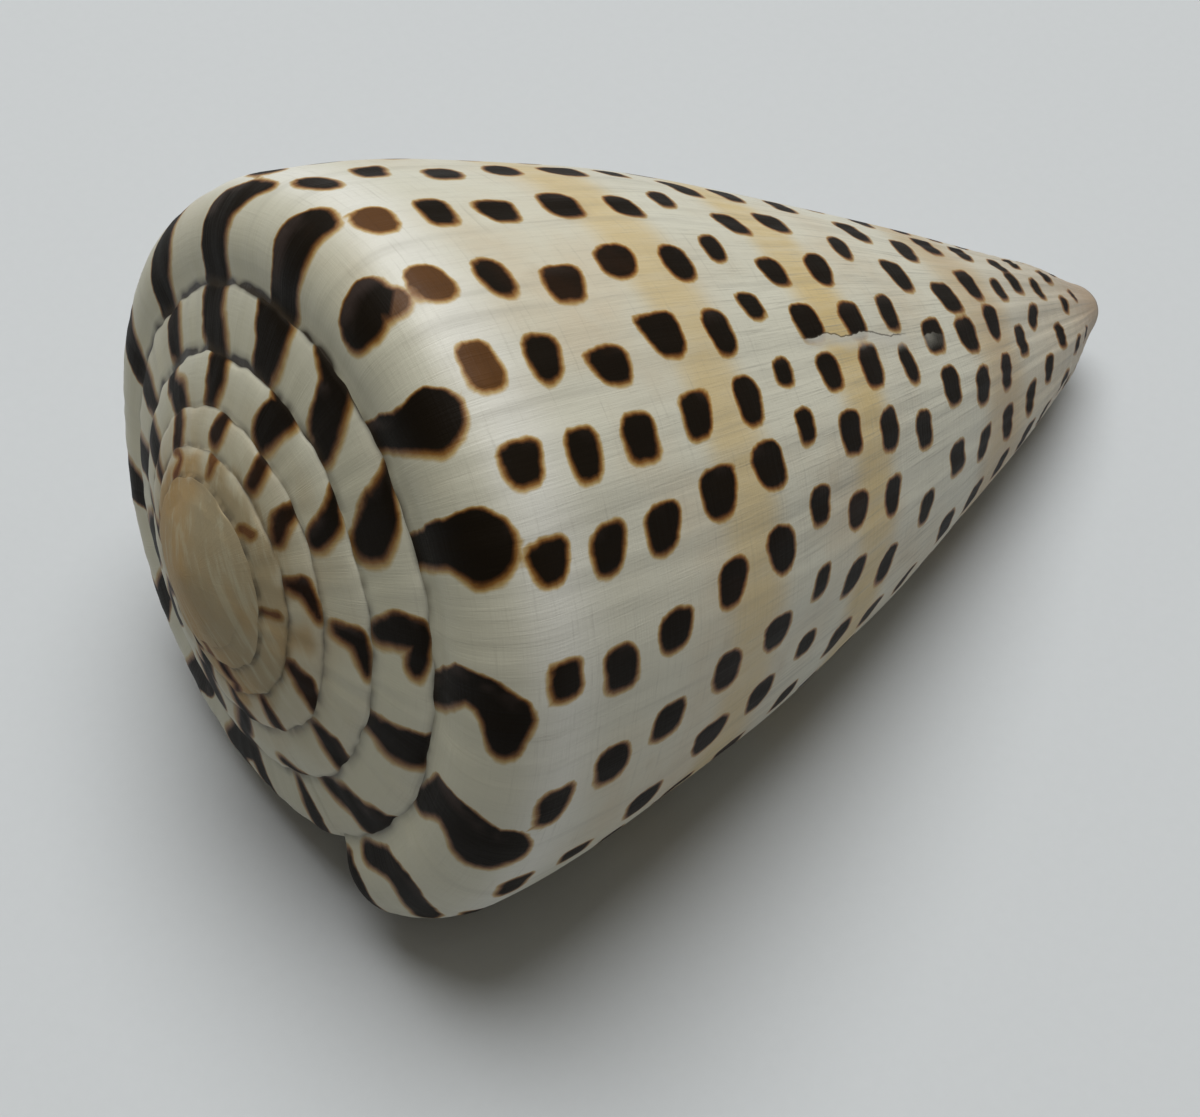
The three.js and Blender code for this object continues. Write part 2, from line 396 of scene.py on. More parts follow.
# The front rim of the outer wall, along the open canal: each outer vertex is joined to
# the nearest of the fewer inner ones.
rim = np.arange(last_cavity + 1)
nearest = np.abs(rim[:, None] - cavity).argmin(axis=1)
rim_outer, rim_inner = outer[rim, FRONT_ROW], inner[nearest, FRONT_ROW]
rim_samples = body_samples[rim, FRONT_ROW]
rim_corners = [rim_outer[:-1], rim_inner[:-1], rim_outer[1:]]
triangles(rim_corners, [rim_samples[:-1], rim_samples[:-1], rim_samples[1:]])
steps = np.nonzero(np.diff(nearest))[0]
step_corners = [rim_inner[steps], rim_inner[steps + 1], rim_outer[steps + 1]]
triangles(step_corners, [rim_samples[steps + 1]] * 3)

# The blind end of the cavity, between its inner face and the columella.
end = COLUMNS + last_cavity
end_rows = np.arange(1, FRONT_ROW)
faced = outer[end, np.maximum(end_rows, ROOF_ROW)]
end_samples = [inner_samples[-1, -1]] * 3
triangles([inner[-1, end_rows], faced, inner[-1, end_rows + 1]], end_samples)
open_rows = end_rows[ROOF_ROW - 1:]
open_corners = [outer[end, open_rows], outer[end, open_rows + 1], inner[-1, open_rows + 1]]
triangles(open_corners, end_samples)

# The closed front of the columella and the worn apex.
FRONT_TIP = 0.6
FRONT_TIP_ANGLE = 1.25 * TURN
FRONT_SHADE = 0.3
FRONT_RINGS = 5
APEX_RINGS = 10
front_columns = np.concatenate([np.arange(last_cavity, COLUMNS), COLUMNS + cavity])
front_loop = np.append(outer[front_columns, FRONT_ROW], inner[-1, FRONT_ROW])
front_angles = np.append(front_columns, end) * TURN / COLUMNS
tip = np.array([side(FRONT_TIP_ANGLE, 1.0)[0] + FRONT_TIP, 0.0, 0.0])
front_along = np.concatenate(points)[front_loop, 0]


def front_level(ring, share):
    """From the loop's own place along the axis to the tip's, as a rounded nose."""
    return front_along + (tip[0] - front_along) * math.sin(share * math.pi / 2)


def apex_level(ring, share):
    """The worn dome's level at the ring's distance from the axis, whatever its share."""
    return dome(np.hypot(ring[:, 1], ring[:, 2]))


cap(front_loop, front_angles, FRONT_SHADE, FRONT_RINGS, tip, front_level)
apex_columns = np.arange(APEX_COLUMN, APEX_COLUMN + COLUMNS + 1)
apex_loop = np.append(outer[apex_columns, SUTURE_ROW], outer[APEX_COLUMN, 1:SUTURE_ROW])[::-1]
apex_angles = np.append(apex_columns, [APEX_COLUMN] * (SUTURE_ROW - 1))[::-1] * TURN / COLUMNS
apex = np.array([DOME_BASE, 0.0, 0.0])
cap(apex_loop, apex_angles, 0.0, APEX_RINGS, apex, apex_level)

points = np.concatenate(points)
faces = np.concatenate(faces)
face_samples = np.concatenate(face_samples)
sample_angles = np.concatenate(sample_angles)
sample_rows = np.concatenate(sample_rows)
sample_inside = np.concatenate(sample_inside)

# Growth isn't even, which leaves swellings and ripples along the growth lines, wrinkles
# on the ramp and weak spiral cords near the front end.  Each kind of unevenness has its
# height, its lengths around and across the whorl in millimetres, and a seed.
SWELLINGS = (0.07, 9.0, 90.0, 3)
RIPPLES = (0.028, 2.6, 45.0, 5)
HUMPS = (0.08, 26.0, 22.0, 8)
SHORT_WRINKLES = (0.016, 1.9, 7.0, 13)
LONG_WRINKLES = (0.016, 4.5, 9.0, 21)
CORD_HEIGHT = 0.035
CORD_SPACING = 1.9
CORDS_START = (SIDE_START + 0.72 * SIDE_ROWS, SIDE_START + 0.9 * SIDE_ROWS)
LINES_LEAN = 2.5
LEAN_LENGTH = 40.0
BODY_STARTS = (SUTURE_ROW - 4, SIDE_START + 12)
SPIRE_SHARE = 0.35
SMOOTH_WITHIN = (2.0, 9.0)
WAVE_LENGTHS = (0.7, 1.5)

# The cords wander in the same way, by an angle of their wave in radians.
CORD_WANDER = (0.4, 14.0, 9.0, 34)


def waves(x, y, seed, count=9):
    """A smooth random field whose mean square is about one: a scaled sum of sine waves of
    about unit length, whose directions, lengths and phases are drawn from a fixed seed."""
    draw = np.random.default_rng(seed)
    shortest, longest = WAVE_LENGTHS
    drawn = draw.uniform([[0], [shortest], [0]], [[2], [longest], [2]], (3, count))
    total = np.zeros(np.broadcast(x, y).shape)
    for direction, length, phase in zip(*drawn):
        across = x * math.cos(math.pi * direction) + y * math.sin(math.pi * direction)
        total += np.sin(2 * math.pi * across / length + math.pi * phase)
    return total * math.sqrt(2.0 / count)


def unevenness(kind, around, across):
    """One kind of unevenness: its height times its field of waves."""
    height, length_around, length_across, seed = kind
    return height * waves(around / length_around, across / length_across, seed)


def distance_across(angle, row):
    """How many millimetres lie between the suture and a row: the straight line across the
    ramp, the shoulder's arc, and the side measured along the axis."""
    inner_along, inner_out = shoulder_arc(angle + TURN, SUTURE_ANGLE)
    edge_along, edge_out = shoulder_arc(angle, 0.0)
    ramp = np.hypot(edge_along - inner_along, edge_out - inner_out)
    start = side_part(angle, SIDE_START)
    on_side = (side_part(angle, row) - start) * BODY_LENGTH * np.exp(-FRONT_SHRINK * angle)
    arc = arc_at(row) * SHOULDER_ROUNDING * shoulder_radius(angle)
    return ramp * np.clip(row / RAMP_ROWS, 0.0, 1.0) + arc + on_side


def relief(angle, row):
    """How far the outer skin stands proud of its even growth, in millimetres: the sum of
    the kinds of unevenness, each on its part of the whorl, fading out at the apex."""
    across = distance_across(angle, row)
    out = outline(angle, row)[1]
    around = grown_length(angle)
    on_body = ease(row, *BODY_STARTS)
    front = ease(row, *CORDS_START)
    fade = ease(out, *SMOOTH_WITHIN) * (1.0 - ease(angle, *WORN))
    leaning = around + LINES_LEAN * np.sin(across / LEAN_LENGTH)
    height = unevenness(SWELLINGS, leaning, across) + unevenness(RIPPLES, leaning, across)
    height = height + unevenness(HUMPS, around, across)
    height = height * (SPIRE_SHARE + (1.0 - SPIRE_SHARE) * on_body)
    wrinkles = unevenness(SHORT_WRINKLES, around, across) + unevenness(LONG_WRINKLES, around, across)
    height = height + wrinkles * (1.0 - on_body)
    wander = unevenness(CORD_WANDER, around, across)
    cords = np.sin(2 * math.pi * across / CORD_SPACING + wander)
    return (height + CORD_HEIGHT * cords * front) * fade


corners = points[faces]
face_normals = np.cross(corners[:, 2] - corners[:, 0], corners[:, 3] - corners[:, 1])
triangle = faces[:, 2] == faces[:, 3]
face_normals[triangle] = np.cross(
    corners[triangle, 1] - corners[triangle, 0], corners[triangle, 2] - corners[triangle, 0]
)
normals = np.zeros_like(points)
for corner in range(4):
    np.add.at(normals, faces[:, corner], face_normals)
normals /= np.linalg.norm(normals, axis=1, keepdims=True)
skin = slice(0, len(outer_angles))
points[skin] += normals[skin] * relief(outer_angles, outer_rows.astype(float))[:, None]

# It lies on its aperture: turned about its axis and dipped towards the front until it
# touches the table, and moved so that it fills the frame's own box.
MILLIMETRES = 1000.0
ROLL = math.radians(137.1)
DIP = math.radians(13.7)
turned = Quaternion((0, 1, 0), DIP) @ Quaternion((1, 0, 0), ROLL)
points = points @ np.array(turned.to_matrix()).T
frame_low, frame_high = (MILLIMETRES * np.array(corner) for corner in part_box("cone_shell"))
points *= ((frame_high - frame_low) / (points.max(axis=0) - points.min(axis=0))).min()
points -= (points.min(axis=0) + points.max(axis=0)) / 2
lift = frame_low[2] - points[:, 2].min()
points += (frame_low + frame_high) / 2 * [1, 1, 0] + [0, 0, lift]



def new_object(name, data):
    """Puts a new object in the scene, at the origin until it is moved."""
    made = bpy.data.objects.new(name, data)
    bpy.context.scene.collection.objects.link(made)
    return made


mesh = bpy.data.meshes.new("glazed_shell")
mesh.vertices.add(len(points))
mesh.vertices.foreach_set("co", (points / MILLIMETRES).astype(np.float32).ravel())
sizes = np.where(triangle, 3, 4)
kept = np.ones(faces.shape, dtype=bool)
kept[triangle, 3] = False
mesh.loops.add(int(sizes.sum()))
mesh.loops.foreach_set("vertex_index", faces[kept].astype(np.int32))
mesh.polygons.add(len(faces))
mesh.polygons.foreach_set("loop_start", (np.cumsum(sizes) - sizes).astype(np.int32))
mesh.update(calc_edges=True)
mesh.validate()
mesh.shade_smooth()
shell = new_object("glazed_shell", mesh)

# The colour was laid down at the lip too.  Spots stand in spiral rows, largest near the
# shoulder, and mostly share their growth angles.  Each row has its place along the side,
# the size of its spots around and along the shell in millimetres, and their angles.
SPOT_ROWS = [
    (0.057, 4.0, 3.4, [156, 141, 127, 113, 99, 86, 70, 49, 29]),
    (0.110, 4.0, 3.4, [158, 141, 126, 112, 98, 85, 68, 52, 31]),
    (0.166, 3.7, 3.7, [155, 140, 123, 109, 98, 85, 70, 55, 37]),
    (0.230, 4.0, 3.8, [141, 126, 112, 99, 87, 73, 58, 44]),
    (0.293, 3.9, 3.4, [140, 125, 111, 99, 88, 74, 59, 45]),
    (0.348, 3.1, 2.6, [143, 128, 115, 102, 92, 78, 64, 50]),
    (0.405, 3.6, 3.3, [136, 122, 110, 100, 88, 73, 59, 43]),
    (0.466, 3.8, 3.2, [138, 122, 109, 99, 85, 71, 54, 40]),
    (0.528, 3.6, 2.7, [151, 130, 110, 97, 81, 61, 39]),
    (0.588, 3.8, 3.3, [140, 121, 102, 88, 68, 46]),
    (0.648, 3.7, 3.2, [134, 113, 100, 84, 65]),
    (0.707, 3.5, 2.9, [158, 141, 118, 102, 84, 64]),
    (0.762, 3.2, 2.7, [140, 116, 92, 66]),
    (0.808, 2.9, 2.4, [132, 120, 101, 73]),
    (0.853, 2.6, 2.2, [139, 117, 86, 56]),
    (0.893, 2.3, 1.9, [128, 104, 75, 47]),
    (0.930, 1.9, 1.7, [140, 110, 75]),
]

# Each row goes on both ways, at the spacing in degrees of its part of the side, which is
# given up to each place.  A spot's shape varies between the limits given here, and a
# mark is felt up to FAR millimetres from its middle.
SPOT_SPACINGS = [(0.5, 14.7), (0.78, 19.0), (1.0, 25.0)]
NEWEST_SPOT = -8.0
OLDEST_SPOT = 395.0
SCATTER = 1.6
WIDTH_VARIES = (0.92, 1.12)
HEIGHT_VARIES = (0.94, 1.14)
LEAN_VARIES = (-0.25, 0.30)
TAPER_VARIES = (-0.05, 0.24)
SQUARENESS_VARIES = (2.3, 3.5)
TAPER_LIMIT = 1.2
LAST_SPOT_ANGLE = 1.2 * TURN
FIRST_SPOT_ROW = SUTURE_ROW - 3
FAR = 6.0
NEAR_ZERO = 1e-3


def row_angles(part, angles, draw):
    """The growth angles of a whole row in degrees: the given ones, continued both ways
    at the spacing of that part of the shell with a little scatter."""
    spacing = next(spacing for limit, spacing in SPOT_SPACINGS if part < limit)
    older = np.arange(max(angles) + spacing, OLDEST_SPOT, spacing)
    newer = np.arange(min(angles) - spacing, NEWEST_SPOT, -spacing)
    added = np.concatenate([older, newer])
    return np.concatenate([angles, added + draw.uniform(-SCATTER, SCATTER, len(added))])


def spot_distance(x, y, wide, tall, draw):
    """The signed distance in millimetres to the edge of a spot: a superellipse that
    leans, and tapers towards the lip, by amounts drawn for each spot."""
    half_wide = 0.5 * wide * draw.uniform(*WIDTH_VARIES)
    half_tall = 0.5 * tall * draw.uniform(*HEIGHT_VARIES)
    lean, taper, power = draw.uniform(*zip(LEAN_VARIES, TAPER_VARIES, SQUARENESS_VARIES))
    tapering = 1.0 + taper * np.clip(x / half_wide, -TAPER_LIMIT, TAPER_LIMIT)
    y = (y - lean * x * half_tall / half_wide) / tapering
    near = np.maximum(np.abs(x) / half_wide, NEAR_ZERO)
    high = np.maximum(np.abs(y) / half_tall, NEAR_ZERO)
    size = (near**power + high**power) ** (1.0 / power)
    slope = np.hypot((near / size) ** (power - 1) / half_wide, (high / size) ** (power - 1) / half_tall)
    return (size - 1.0) / slope


angles = sample_angles
rows = sample_rows
on_skin = rows >= 0
sample_across = distance_across(angles, np.maximum(rows, 0.0))
sample_out = outline(angles, np.maximum(rows, 0.0))[1]
sample_part = np.where(rows >= SIDE_START, side_part(angles, rows), -1.0)
mark = np.full(len(angles), FAR)
rust = np.zeros(len(angles))
newer = np.zeros(len(angles))
COVERING_DEPTH = 0.35


def put_mark(chosen, distance, colour, towards_lip):
    """Keeps the nearest mark's distance and colour at the chosen samples, and how far
    each lies from the mark's middle towards the lip, from -1 to 1.  Where two marks lie
    over each other, the darker one's colour stays."""
    closer = distance < mark[chosen]
    covered = (distance < -COVERING_DEPTH) & (mark[chosen] < -COVERING_DEPTH)
    nearest_colour = np.where(closer, colour, rust[chosen])
    rust[chosen] = np.where(covered, np.minimum(colour, rust[chosen]), nearest_colour)
    mark[chosen] = np.where(closer, distance, mark[chosen])
    newer[chosen] = np.where(closer, np.clip(towards_lip, -1.0, 1.0), newer[chosen])


# A mark's shade goes from 0, dark brown, to 1, rusty.  The spots of the first row are
# rusty between two growth angles, and the others vary a little.
SHADE_VARIES = 0.16
RUSTY_FROM = 105
RUSTY_TO = 150
MARKS_SEED = 7
draw = np.random.default_rng(MARKS_SEED)
for part, wide, tall, given in SPOT_ROWS:
    for degrees in row_angles(part, given, draw):
        at = math.radians(degrees)
        length = BODY_LENGTH * math.exp(-FRONT_SHRINK * max(at, 0.0))
        ahead = side_part(at, SIDE_START)
        spot_across = distance_across(at, SIDE_START) + (part - ahead) * length
        x = (angles - at) * sample_out
        y = sample_across - spot_across
        near = (np.abs(x) < FAR) & (np.abs(y) < FAR)
        chosen = np.nonzero(near & (angles < LAST_SPOT_ANGLE) & (rows > FIRST_SPOT_ROW))[0]
        rusty = part == SPOT_ROWS[0][0] and RUSTY_FROM < degrees < RUSTY_TO
        reddish = 1.0 if rusty else draw.uniform(0.0, SHADE_VARIES)
        distance = spot_distance(x[chosen], y[chosen], wide, tall, draw)
        put_mark(chosen, distance, reddish, -x[chosen] / wide)

# On the shoulder and the spire the marks are blotches and flames that run across the
# whorl.  A flame is a chain of places: growth angle in degrees, place across the whorl
# from its inner suture (0) to where the next whorl covers it (1), and half its width.
FLAMES = [
    (0, [(172, 0.05, 1.9), (171, 0.45, 1.9), (170, 0.85, 2.1), (166, 1.12, 1.5), (162, 1.38, 0.7)]),
    (0, [(146, 0.1, 1.9), (146, 0.62, 1.9), (147, 0.83, 2.2), (146, 1.05, 1.7), (144, 1.24, 0.9)]),
    (0, [(126, 0.7, 1.5), (127, 0.8, 2.1), (129, 0.93, 1.7)]),
    (0, [(112, 0.0, 1.2), (109, 0.6, 1.5), (108, 0.88, 2.4)]),
    (0, [(90, 0.0, 1.3), (91, 0.65, 1.8), (90, 0.88, 2.8)]),
    (0, [(63, 0.0, 1.3), (69, 0.6, 1.5), (68, 0.8, 1.7), (65, 0.93, 2.1), (61, 0.92, 1.4)]),
    (0, [(36, 0.12, 1.1), (44, 0.45, 1.6), (43, 0.7, 2.1), (40, 0.92, 2.8), (41, 1.2, 2.2)]),
    (0, [(8, 0.25, 1.1), (15, 0.48, 1.5), (17, 0.68, 1.8), (13, 0.97, 1.7), (10, 1.2, 1.0)]),
    (0, [(0, 0.35, 0.9), (1, 0.62, 1.1), (-2, 1.0, 1.0)]),
    (0, [(198, 0.1, 1.5), (194, 0.7, 2.1), (191, 1.3, 1.5)]),
    (0, [(223, 0.2, 1.4), (219, 0.8, 2.1), (217, 1.2, 1.7)]),
    (0, [(256, 0.1, 1.3), (254, 0.6, 1.9), (251, 1.2, 1.8)]),
    (1, [(172, 1.0, 1.9), (171, 0.53, 1.8), (166, 0.05, 1.5)]),
    (1, [(193, 0.75, 1.4), (193, 0.47, 1.5), (192, 0.2, 1.0)]),
    (1, [(222, 1.0, 1.3), (219, 0.5, 1.6), (217, 0.1, 1.1)]),
    (1, [(149, 1.0, 2.0), (146, 0.77, 2.4), (144, 0.45, 2.0), (142, 0.12, 1.0)]),
    (1, [(131, 1.0, 1.3), (124, 0.85, 1.9), (120, 0.47, 1.8), (115, 0.13, 1.0)]),
    (1, [(105, 1.0, 1.0), (98, 0.66, 2.0), (93, 0.42, 1.8)]),
    (1, [(72, 0.22, 1.2), (74, 0.58, 1.6), (74, 0.85, 1.4), (67, 0.70, 1.2)]),
    (1, [(45, 0.1, 1.3), (45, 0.5, 1.9), (48, 0.85, 2.0), (50, 1.0, 1.6)]),
    (1, [(8, 0.1, 1.1), (14, 0.5, 1.6), (17, 0.85, 2.7), (19, 1.0, 2.4)]),
    (1, [(-7, 0.2, 0.8), (-7, 0.57, 1.3), (-8, 0.9, 1.3)]),
    (1, [(-30, 0.2, 0.9), (-28, 0.6, 1.4), (-27, 1.0, 1.3)]),
    (2, [(165, 1.0, 1.4), (164, 0.57, 1.5), (165, 0.17, 1.1)]),
    (2, [(136, 1.0, 1.0), (131, 0.88, 1.8), (133, 0.52, 1.8), (132, 0.23, 1.0)]),
    (2, [(106, 1.0, 0.9), (100, 0.73, 1.4), (96, 0.33, 1.2)]),
    (2, [(69, 0.38, 1.0), (68, 0.72, 1.3), (60, 0.87, 0.9)]),
    (2, [(26, 0.2, 1.0), (25, 0.6, 1.5), (22, 1.0, 1.2)]),
    (2, [(-9, 0.7, 1.0), (-2, 0.95, 0.9)]),
    (3, [(154, 1.0, 0.9), (155, 0.53, 1.2)]),
    (3, [(128, 1.0, 0.9), (125, 0.4, 1.1)]),
    (3, [(107, 0.95, 0.8), (106, 0.57, 1.2), (100, 0.25, 0.9)]),
    (3, [(82, 0.15, 0.9), (81, 0.62, 1.2), (72, 0.85, 0.9)]),
    (3, [(43, 0.22, 1.0), (40, 0.62, 1.4), (34, 0.95, 1.1)]),
    (4, [(151, 0.9, 0.8), (151, 0.5, 0.7)]),
    (4, [(112, 0.23, 0.7), (107, 0.5, 0.7)]),
    (4, [(66, 0.1, 0.65), (67, 0.65, 0.7)]),
]
RUSTY_LOBE = (0, [(128, 1.0, 1.1), (126, 1.17, 1.3)])
REDDER_WHORLS = {3: 0.3, 4: 1.5}
GOLDEN_FRINGE = 0.22
LAST_FLAME_ROW = SIDE_START + 40

# The same kind of flame all round the side that faces away: turn, first and last angle,
# spacing in degrees and half width.
FLAME_RUNS = [
    (0, 279, 325, 21, 2.0),
    (1, 243, 352, 23, 1.7),
    (2, 192, 345, 30, 1.4),
    (3, 2, 3, 20, 1.0),
    (3, 186, 350, 32, 1.0),
    (4, 190, 350, 48, 0.7),
]
RUN_PLACES = (0.15, 0.6, 1.0)
LAST_WHORL_PLACES = (0.15, 0.6, 1.15)
RUN_SHIFT = 3.0
FLAME_SWAY = 5.0
FLAME_WIDTH_VARIES = (0.65, 1.3)
for turn, first, last, spacing, half_width in FLAME_RUNS:
    for degrees in np.arange(first, last, spacing) + draw.uniform(-RUN_SHIFT, RUN_SHIFT):
        sway = draw.uniform(-FLAME_SWAY, FLAME_SWAY, 3)
        widths = half_width * draw.uniform(*FLAME_WIDTH_VARIES, 3)
        places = LAST_WHORL_PLACES if turn == 0 else RUN_PLACES
        FLAMES.append((turn, list(zip(degrees + sway, places, widths))))


def place_across(angle, place):
    """The millimetres from the suture of a place on a whorl: 0 is the suture, half is the
    ramp's outer edge, 1 is where the next suture lies, and 2 is where the side starts."""
    row = np.interp(place, [0.0, 0.5, 1.0, 2.0], [0, RAMP_ROWS, SUTURE_ROW, SIDE_START])
    return distance_across(angle, row)


for turn, chain in FLAMES + [RUSTY_LOBE]:
    reddish = draw.uniform(0.0, SHADE_VARIES) + REDDER_WHORLS.get(turn, 0.0)
    reddish = reddish + (chain is RUSTY_LOBE[1])
    for (degrees_a, place_a, width_a), (degrees_b, place_b, width_b) in zip(chain, chain[1:]):
        start = math.radians(degrees_a) + turn * TURN
        end = math.radians(degrees_b) + turn * TURN
        around = (angles - start) * sample_out
        span = (end - start) * sample_out
        rise = place_across(end, place_b) - place_across(start, place_a)
        climb = sample_across - place_across(start, place_a)
        reach = FAR + width_a + width_b
        near = (np.abs(around) < reach + np.abs(span)) & (np.abs(climb) < reach + abs(rise))
        chosen = np.nonzero(near & on_skin & (rows < LAST_FLAME_ROW))[0]
        around, span, climb = around[chosen], span[chosen], climb[chosen]
        along = np.clip((around * span + climb * rise) / (span**2 + rise**2 + 1e-9), 0.0, 1.0)
        gap = np.hypot(around - along * span, climb - along * rise)
        half = GOLDEN_FRINGE + width_a + (width_b - width_a) * along
        put_mark(chosen, gap - half, reddish, (along * span - around) / half)

# Bands of cream and peach go round the side: place, half width and strength.  Towards the
# front end the white is flushed with brown, in steps (strength, start and end) and in a
# band, and on the shoulder a painted highlight makes it paler.
BANDS = [(0.262, 0.034, 0.8), (0.437, 0.031, 1.0), (0.700, 0.045, 0.7)]
FLUSHES = [(0.45, 0.68, 0.86), (0.55, 0.86, 0.98)]
FLUSHED_BAND = (0.5, 0.70, 0.045)
PAINTED_HIGHLIGHT_SHARE = 0.8
PAINTED_HIGHLIGHT_ENDS = (0.055, 0.115)
band = np.zeros(len(angles))
for middle, half_width, strength in BANDS:
    band += strength * np.exp(-(((sample_part - middle) / half_width) ** 4)) * (sample_part > 0)
flush = sum(strength * ease(sample_part, first, last) for strength, first, last in FLUSHES)
strength, middle, half_width = FLUSHED_BAND
flush = flush + strength * np.exp(-(((sample_part - middle) / half_width) ** 2))
# Painted highlight: the shoulder's white is made paler, fading out a little way down the side.
bleached = PAINTED_HIGHLIGHT_SHARE * ease(rows, SUTURE_ROW - 1, SIDE_START)
bleached = bleached * (1.0 - ease(sample_part, *PAINTED_HIGHLIGHT_ENDS))

# The oldest whorls are worn through to a beige layer, up to a wavering edge that lies
# further out on the side where the shell was rubbed most.  Distances are in millimetres.
RUBBED_SIDE = math.radians(35)
RUBBED_SHIFT = 1.6
EDGE_WAVER = (0.5, 1.0 / 3.0, 4.0, 55)
HALF_WORN = (0.4, 8.0, 14.5)
WORN_THROUGH = (0.6, 7.0, 8.6)
on_whorls = (angles > TURN) & (rows <= SUTURE_ROW)
worn_out = sample_out - RUBBED_SHIFT * (1.0 + np.cos(angles - RUBBED_SIDE))
worn_out = worn_out + unevenness(EDGE_WAVER, angles, sample_out)
worn = 0.0
for strength, inner_edge, outer_edge in (HALF_WORN, WORN_THROUGH):
    worn = worn + strength * (1.0 - ease(worn_out, inner_edge, outer_edge))
worn = worn * on_whorls

# The sutures are thin dark cracks, finer on the older whorls, darkened further by painted
# shade in their crevices.  The painted shade is darkest on one side of the younger whorls, and all of it
# fades out at the worn apex.
SEAM_WIDTH = 0.26
YOUNG_SEAM_WIDER = 0.16
YOUNG_SEAMS = 2.2 * TURN
SEAMS_FADE = (4.5 * TURN, 5.3 * TURN)
GAPING_AT = math.radians(172)
GAPING_LENGTH = 0.6
GAPING_UP_TO = 1.9 * TURN
SHUT_DARKNESS = 0.8
GAPING_SHADE_DARKNESS = 2.2
from_outer = distance_across(angles, SUTURE_ROW) - sample_across
to_seam = np.where(angles > TURN, np.minimum(sample_across, np.abs(from_outer)), sample_across)
seam_width = SEAM_WIDTH + YOUNG_SEAM_WIDER * (angles < YOUNG_SEAMS)
# Each suture gets a dark crack plus painted shade in its crevice.
seam = np.exp(-((to_seam / seam_width) ** 2)) * on_skin
seam = seam * (1.0 - ease(angles, *SEAMS_FADE))
# Painted shade: the crevice is darker on one side of the younger whorls.
gaping_shade = np.exp(-(((angles % TURN - GAPING_AT) / GAPING_LENGTH) ** 2)) * (angles < GAPING_UP_TO)
seam = seam * (rows <= SUTURE_ROW) * (SHUT_DARKNESS + GAPING_SHADE_DARKNESS * gaping_shade)
chalk = 1.0 - ease(rows, RAMP_ROWS - 3, SIDE_START)

# Once the lip was chipped and mended: a scar leans across the growth lines, wavering a
# little, and what grew after it cuts off the ends of three spots.
SCAR_MIDDLE = 0.385
SCAR_DEGREES = 108.0
SCAR_LEAN = 24.0
SCAR_WAVER = (0.006, 1.0 / 30.0, 1.0, 77)
SCAR_STARTS = (0.375, 0.40)
SCAR_ENDS = (0.54, 0.62)
SCAR_REACH = 0.5
scar_angle = np.radians(SCAR_DEGREES - SCAR_LEAN * (sample_part - SCAR_MIDDLE))
scar_angle = scar_angle + unevenness(SCAR_WAVER, sample_part, 0.0)
scar = np.clip((scar_angle - angles) * sample_out, -FAR, FAR)
scar_length = ease(sample_part, *SCAR_STARTS) * (1.0 - ease(sample_part, *SCAR_ENDS))
scar_length = scar_length * (np.abs(angles - scar_angle) < SCAR_REACH)

# The golden rim of a mark is widest on the old whorls, and wider near the shoulder than
# at the front.  The growth place gives each whorl its own stretch of growth lines.
RIM = 0.52
RIM_NEAR_SHOULDER = 0.18
RIM_ON_WHORLS = 0.25
RIM_NARROWS = (8.0, 34.0)
WHORL_STEP = 40.0
halo = RIM + RIM_NEAR_SHOULDER * (1.0 - ease(sample_across, *RIM_NARROWS))
halo = halo + RIM_ON_WHORLS * on_whorls
whorl = np.floor(angles / TURN)
growth = np.stack([angles * SHOULDER_RADIUS, sample_across, whorl * WHORL_STEP], axis=1)

stored = dict(mark=mark, rust=rust, newer=newer, halo=halo, band=band, flush=flush)
stored.update(worn=worn, seam=seam, chalk=chalk, bleached=bleached, inside=sample_inside)
stored.update(side=np.clip(sample_part, 0.0, 1.0), scar=scar, scar_length=scar_length)
for name, values in stored.items():
    attribute = mesh.attributes.new(name, "FLOAT", "CORNER")
    attribute.data.foreach_set("value", values[face_samples[kept]].astype(np.float32))
attribute = mesh.attributes.new("growth", "FLOAT_VECTOR", "CORNER")
attribute.data.foreach_set("vector", growth[face_samples[kept]].astype(np.float32).ravel())

# The finish: a satin glaze over chalky layers.  The marks are pigment within the glaze,
# golden where it is thin and almost black where it is thick.  Fine growth lines scratch
# the glaze, and the spire is dull and worn.
COOL_WHITE = (0.580, 0.562, 0.462)
WARM_WHITE = (0.545, 0.470, 0.340)
# The paler white of the painted highlight on the shoulder.
PAINTED_HIGHLIGHT_WHITE = (0.690, 0.680, 0.620)
CREAM_BAND = (0.560, 0.430, 0.205)
PEACH = (0.370, 0.265, 0.170)
GREY_LINES = (0.260, 0.245, 0.200)
STAIN = (0.300, 0.230, 0.140)
CHALK_GREY = (0.410, 0.390, 0.275)
WORN_BEIGE = (0.345, 0.218, 0.078)
WORN_GREY = (0.280, 0.220, 0.120)
OLD_VEIL = (0.060, 0.042, 0.036)
SEAM_BROWN = (0.030, 0.022, 0.014)
MENDED = (0.520, 0.500, 0.430)
PORCELAIN = (0.760, 0.720, 0.660)
PIGMENT = [
    (0.00, (1.000, 1.000, 1.000)),
    (0.22, (0.740, 0.540, 0.270)),
    (0.48, (0.360, 0.160, 0.036)),
    (0.74, (0.095, 0.035, 0.009)),
    (0.94, (0.014, 0.009, 0.005)),
]
FLUSH_SHARE = 0.90
THREADS_SHARE = 0.22
BROAD_SHARE = 0.28
STAIN_SHARE = 0.35
CHALK_SHARE = 0.80
SCUFFS_SHARE = 0.40
VEIL_SHARE = 0.55
MENDED_SHARE = 0.85
CRACK_SHARE = 0.75
GLAZE_ROUGHNESS = 0.28
GLAZE_SPECULAR = 0.48
PIGMENT_SPECULAR = 0.10
GLAZE_IOR = 1.42
BUMP_STRENGTH = 0.6
BUMP_HEIGHT = 0.00009

material = bpy.data.materials.new("glazed_shell")
material.use_nodes = True
tree = material.node_tree
glaze = tree.nodes["Principled BSDF"]


